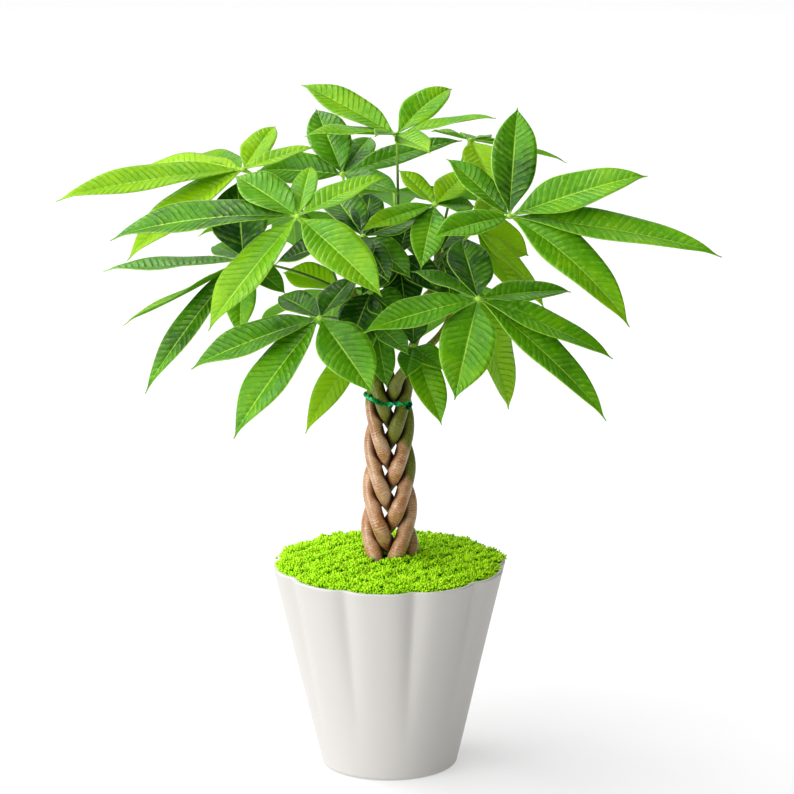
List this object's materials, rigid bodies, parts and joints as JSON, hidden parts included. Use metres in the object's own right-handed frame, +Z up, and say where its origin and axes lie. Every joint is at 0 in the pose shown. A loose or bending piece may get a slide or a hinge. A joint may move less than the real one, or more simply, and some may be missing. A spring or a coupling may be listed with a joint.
{
  "type": "potted money tree",
  "caption": "Young money tree with a braided trunk, palmate leaves and a twist tie, standing in soil and moss in a scalloped tapered pot.",
  "frame": {"origin": "middle of the pot's flat underside", "axes": "+Z up along the pot's axis, +X to the right as the picture shows the plant, -Y towards the viewer"},
  "size_m": [0.2804, 0.1919, 0.2947],
  "materials": {
    "pot": "smooth matte, warm light grey",
    "soil": "crumbly dark potting mix",
    "moss": "dense bright lime moss",
    "bark": "ringed pinkish-tan bark, green towards the shoots",
    "tie": "green metallic foil",
    "leaf": "glossy leaf with raised veins"
  },
  "bodies": {
    "root": {"pot": "pot", "soil": "soil", "moss": "moss", "stem_1": "bark", "stem_2": "bark", "stem_3": "bark", "stem_4": "bark", "stem_5": "bark", "twist_tie": "tie", "leaf_front_left": "leaf", "leaf_far_left": "leaf", "leaf_top": "leaf", "leaf_high_left": "leaf", "leaf_high_right": "leaf", "leaf_front_right": "leaf", "leaf_low_right": "leaf", "leaf_low_left": "leaf", "leaf_side_left": "leaf", "leaf_middle": "leaf", "leaf_inner_right": "leaf", "leaf_inner_left": "leaf", "leaf_low_middle": "leaf", "leaf_inner_middle": "leaf", "leaf_inner_back": "leaf", "leaf_inner_low": "leaf", "leaf_side_right": "leaf", "leaf_back": "leaf", "leaf_back_left": "leaf", "leaf_low_back_left": "leaf", "leaf_low_back_right": "leaf"}
  },
  "joints": []
}
